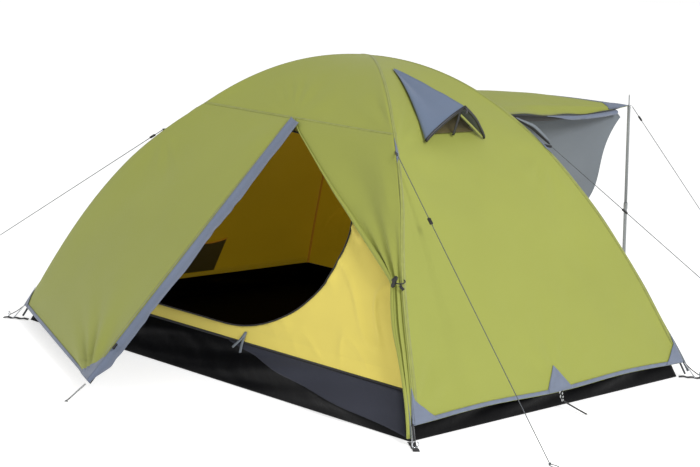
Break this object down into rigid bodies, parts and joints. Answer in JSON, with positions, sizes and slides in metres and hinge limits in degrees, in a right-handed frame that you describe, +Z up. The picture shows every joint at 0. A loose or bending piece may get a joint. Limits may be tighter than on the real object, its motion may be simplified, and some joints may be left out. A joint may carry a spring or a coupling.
{
  "type": "dome tent",
  "caption": "Dome tent on crossed poles with a green fly, yellow inner tent, black floor, vents, and a vestibule at each end, the rear one raised as an awning on a pole.",
  "frame": {"origin": "the middle of the groundsheet on its underside, at ground level", "axes": "+Z up. The front door, with its staked vestibule, faces -Y, and the raised awning is towards +Y. The plain walls with the vents face -X and +X."},
  "size_m": [3.4829, 3.7585, 1.1909],
  "materials": {
    "fly_cloth": "green coated polyester, plain weave, satin",
    "trim_cloth": "blue-grey coated polyester",
    "inner_cloth": "yellow breathable polyester, slightly translucent",
    "groundsheet_cloth": "black woven, coated, slightly glossy",
    "mesh_cloth": "black knitted mesh",
    "webbing": "black flat webbing",
    "cord": "dark grey braided cord",
    "fibreglass": "dark fibreglass rod, satin",
    "ferrule_steel": "plain steel sleeve",
    "awning_pole_steel": "grey coated steel tube",
    "ring_steel": "bright steel",
    "black_plastic": "black moulded plastic"
  },
  "bodies": {
    "tent": {"groundsheet": "groundsheet_cloth", "inner_front_wall": "inner_cloth", "inner_rear_wall": "inner_cloth", "inner_rear_door": "inner_cloth", "inner_right_wall": "inner_cloth", "inner_left_wall": "inner_cloth", "inner_front_door_roll": "inner_cloth", "inner_pocket": "mesh_cloth", "fly_front_roof": "fly_cloth", "fly_right_side": "fly_cloth", "fly_rear_roof": "fly_cloth", "fly_left_side": "fly_cloth", "front_door_gathered": "fly_cloth", "rear_door_gathered": "fly_cloth", "left_vent_hood": "trim_cloth", "right_vent_hood": "trim_cloth", "pole_a_section_1": "fibreglass", "pole_a_section_2": "fibreglass", "pole_a_ferrule_1": "ferrule_steel", "pole_a_section_3": "fibreglass", "pole_a_ferrule_2": "ferrule_steel", "pole_b_section_1": "fibreglass", "pole_b_section_2": "fibreglass", "pole_b_ferrule_1": "ferrule_steel", "pole_b_section_3": "fibreglass", "pole_b_ferrule_2": "ferrule_steel", "front_left_corner_strap": "webbing", "front_left_corner_ring": "ring_steel", "front_right_corner_strap": "webbing", "front_right_corner_ring": "ring_steel", "rear_right_corner_strap": "webbing", "rear_right_corner_ring": "ring_steel", "rear_left_corner_strap": "webbing", "rear_left_corner_ring": "ring_steel", "front_left_guy_line": "cord", "front_right_guy_line": "cord", "rear_right_guy_line": "cord", "rear_left_guy_line": "cord"},
    "awning": {"awning_canopy": "fly_cloth", "awning_storm_flap": "trim_cloth"},
    "awning_panel": {"awning_side_panel": "fly_cloth"},
    "awning_pole": {"awning_pole_lower": "awning_pole_steel", "awning_pole_upper": "awning_pole_steel"},
    "awning_guy": {"awning_guy_line": "cord"},
    "awning_runner": {"awning_guy_runner": "black_plastic"},
    "front_canopy": {"front_canopy": "fly_cloth", "front_storm_flap": "trim_cloth", "front_peg_loop": "cord"},
    "front_panel": {"front_side_panel": "fly_cloth"},
    "zip_slider": {"zip_slider": "black_plastic"},
    "tie_back_toggle": {"tie_back_toggle": "black_plastic"},
    "left_vent_prop": {"left_vent_prop": "black_plastic"},
    "right_vent_prop": {"right_vent_prop": "black_plastic"},
    "front_left_runner": {"front_left_guy_runner": "black_plastic"},
    "front_right_runner": {"front_right_guy_runner": "black_plastic"},
    "rear_right_runner": {"rear_right_guy_runner": "black_plastic"},
    "rear_left_runner": {"rear_left_guy_runner": "black_plastic"}
  },
  "joints": [
    {"name": "awning_lower", "type": "hinge", "parent": "tent", "child": "awning", "pos_m": [0, 0.404, 0.9449], "axis": [1, 0, 0], "range_deg": [-43, 0]},
    {"name": "awning_panel_fold", "type": "hinge", "parent": "awning", "child": "awning_panel", "pos_m": [-0.51521, 0.39407, 0.94217], "axis": [0.4284, 0.9036, 0.0078], "range_deg": [0, 82]},
    {"name": "awning_pole_swing", "type": "hinge", "parent": "awning", "child": "awning_pole", "pos_m": [0.1, 1.69173, 0.95341], "axis": [0, 1, 0], "range_deg": [-94, 0]},
    {"name": "awning_guy_swing", "type": "hinge", "parent": "awning", "child": "awning_guy", "pos_m": [0.103, 1.714, 0.95], "axis": [1, 0, 0], "range_deg": [0, 102]},
    {"name": "awning_runner_slide", "type": "slide", "parent": "awning_guy", "child": "awning_runner", "axis": [0.3944, 0.4835, -0.7814], "range_m": [-0.04, 0.9]},
    {"name": "front_left_runner_slide", "type": "slide", "parent": "tent", "child": "front_left_runner", "axis": [-0.7942, -0.2305, -0.5623], "range_m": [-0.01089, 0.88244]},
    {"name": "front_right_runner_slide", "type": "slide", "parent": "tent", "child": "front_right_runner", "axis": [0.7056, -0.1276, -0.697], "range_m": [-0.2, 0.76614]},
    {"name": "rear_right_runner_slide", "type": "slide", "parent": "tent", "child": "rear_right_runner", "axis": [0.7209, 0.3661, -0.5884], "range_m": [-0.2, 0.89635]},
    {"name": "rear_left_runner_slide", "type": "slide", "parent": "tent", "child": "rear_left_runner", "axis": [-0.7231, 0.3646, -0.5867], "range_m": [-0.2, 0.88869]},
    {"name": "front_canopy_raise", "type": "hinge", "parent": "tent", "child": "front_canopy", "pos_m": [0, -0.404, 0.9449], "axis": [-1, 0, 0], "range_deg": [0, 44]},
    {"name": "front_panel_fold", "type": "hinge", "parent": "front_canopy", "child": "front_panel", "pos_m": [-0.51521, -0.395, 0.9499], "axis": [0.3672, -0.6736, -0.6414], "range_deg": [0, 47]},
    {"name": "front_zip_slide", "type": "slide", "parent": "front_canopy", "child": "zip_slider", "axis": [0, 0.7228, 0.6911], "range_m": [-0.02, 1.02]},
    {"name": "tie_back_toggle_turn", "type": "hinge", "parent": "tent", "child": "tie_back_toggle", "pos_m": [0.85742, -0.67655, 0.4987], "axis": [0.6198, -0.5499, 0.5599], "range_deg": [0, 80]},
    {"name": "left_vent_prop_fold", "type": "hinge", "parent": "tent", "child": "left_vent_prop", "pos_m": [-0.53052, 0.076, 0.93881], "axis": [0, -1, 0], "range_deg": [0, 105]},
    {"name": "right_vent_prop_fold", "type": "hinge", "parent": "tent", "child": "right_vent_prop", "pos_m": [0.53052, -0.076, 0.93881], "axis": [0, 1, 0], "range_deg": [0, 105]}
  ],
  "couplings": [
    {"joint": "awning_panel_fold", "follows": "awning_lower", "ratio": -1.9},
    {"joint": "awning_pole_swing", "follows": "awning_lower", "ratio": 2.18},
    {"joint": "awning_guy_swing", "follows": "awning_lower", "ratio": -2.35},
    {"joint": "front_panel_fold", "follows": "front_canopy_raise", "ratio": 1.05}
  ]
}
